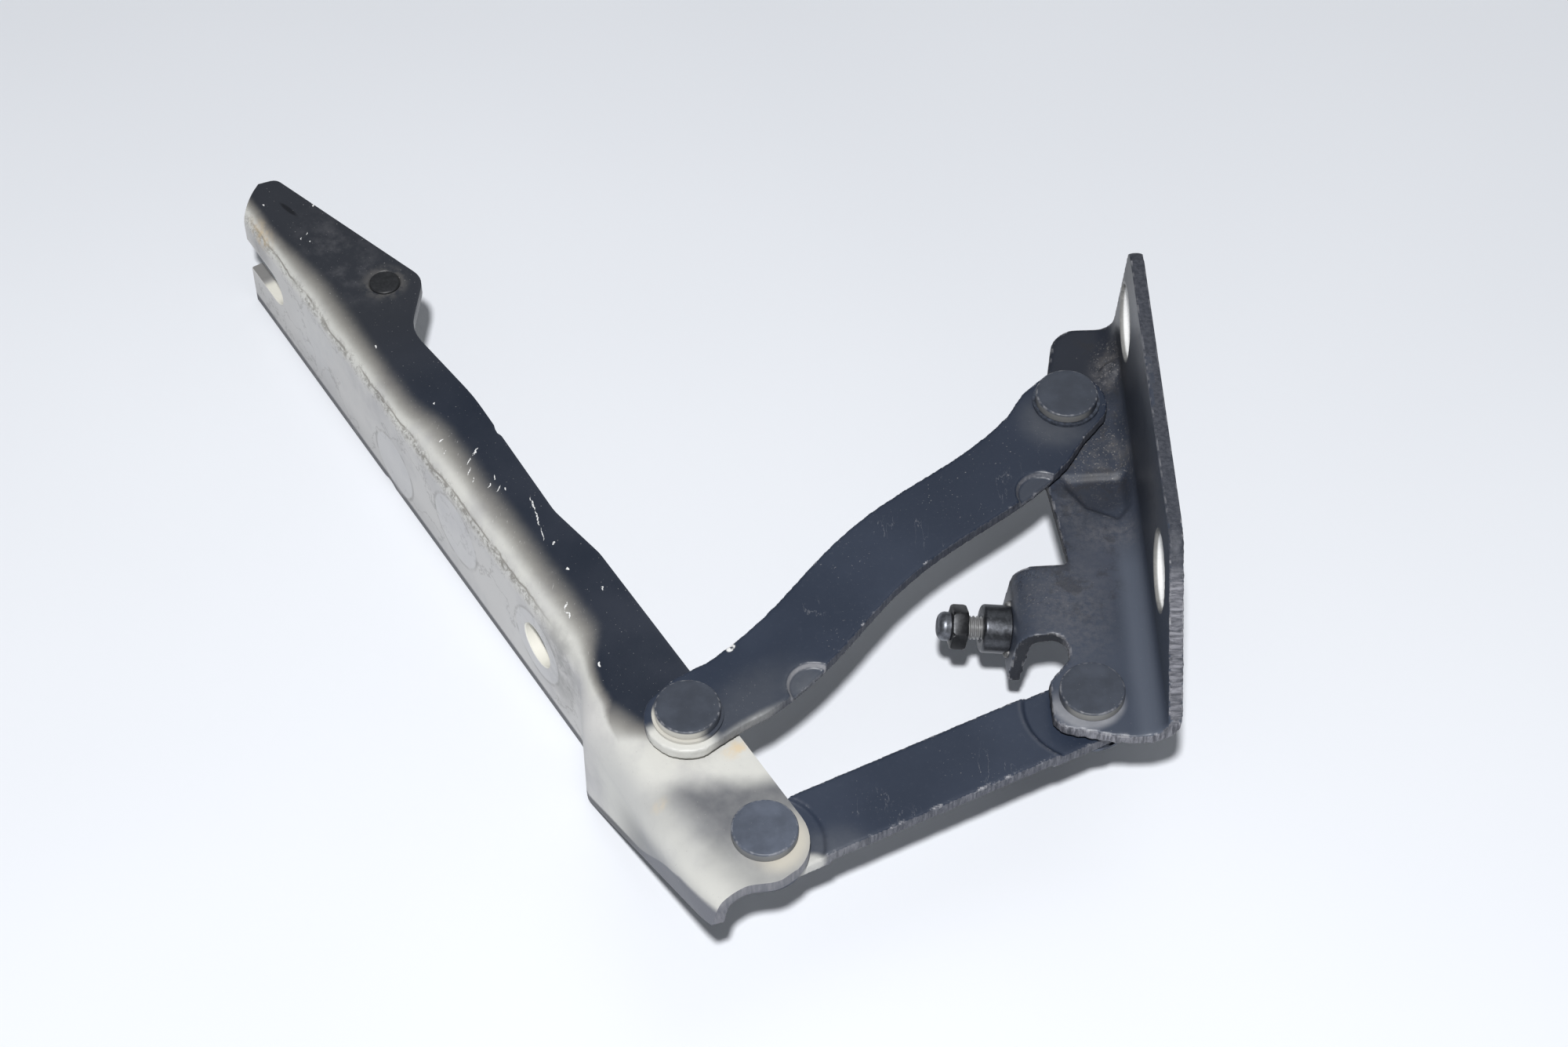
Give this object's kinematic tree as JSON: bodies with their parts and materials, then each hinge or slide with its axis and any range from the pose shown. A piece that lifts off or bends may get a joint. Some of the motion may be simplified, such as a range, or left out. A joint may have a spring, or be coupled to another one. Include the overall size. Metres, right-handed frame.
{
  "type": "bonnet hinge",
  "caption": "Bonnet hinge linkage: a body bracket and a long bonnet arm, joined by a waved link and a straight link on flat-headed rivets, with a stop screw.",
  "frame": {"origin": "middle between the two body bolt holes, on the outer face of the body bracket's flange", "axes": "+X out of the bracket's bolting face, +Y along that flange towards its short end, +Z along the pivots towards the rivet heads"},
  "size_m": [0.2378, 0.242, 0.0775],
  "materials": {
    "bracket_paint": "satin, dusty",
    "arm_paint": "satin with pale primer overspray",
    "link_paint": "satin",
    "rivet_paint": "satin",
    "bush": "plain bearing bronze",
    "washer": "dull zinc",
    "collar": "glossy black",
    "screw": "black oxide",
    "button": "glossy black",
    "stud": "dark steel"
  },
  "bodies": {
    "bracket": {"body_bracket": "bracket_paint", "upper_body_rivet": "rivet_paint", "lower_body_rivet": "rivet_paint", "upper_body_washer": "washer", "lower_body_washer": "washer", "stop_collar": "collar"},
    "upper_link": {"upper_link": "link_paint", "upper_body_bush": "bush", "upper_arm_bush": "bush"},
    "lower_link": {"lower_link": "link_paint", "lower_body_bush": "bush"},
    "arm": {"bonnet_arm": "arm_paint", "upper_arm_rivet": "rivet_paint", "lower_arm_rivet": "rivet_paint", "upper_arm_washer": "washer", "lower_arm_washer": "washer", "lower_arm_spacer": "bush", "strut_stud": "stud"},
    "stop_screw": {"stop_screw": "screw", "stop_button": "button"}
  },
  "joints": [
    {"name": "upper_link_pivot", "type": "hinge", "parent": "bracket", "child": "upper_link", "pos_m": [-0.019, 0.027, -0.02], "axis": [0, 0, 1], "range_deg": [-12, 25]},
    {"name": "lower_link_pivot", "type": "hinge", "parent": "bracket", "child": "lower_link", "pos_m": [-0.0205, -0.063, -0.02], "axis": [0, 0, 1], "range_deg": [-16.8, 35]},
    {"name": "arm_pivot", "type": "hinge", "parent": "upper_link", "child": "arm", "pos_m": [-0.11863, -0.06921, -0.02], "axis": [0, 0, 1], "range_deg": [-52.5, 25.2]},
    {"name": "stop_screw_slide", "type": "slide", "parent": "bracket", "child": "stop_screw", "axis": [-0.9903, 0, 0.1392], "range_m": [-0.0034, 0.0035]}
  ],
  "couplings": [
    {"joint": "lower_link_pivot", "follows": "upper_link_pivot", "ratio": 1.4},
    {"joint": "arm_pivot", "follows": "upper_link_pivot", "ratio": -2.1}
  ]
}
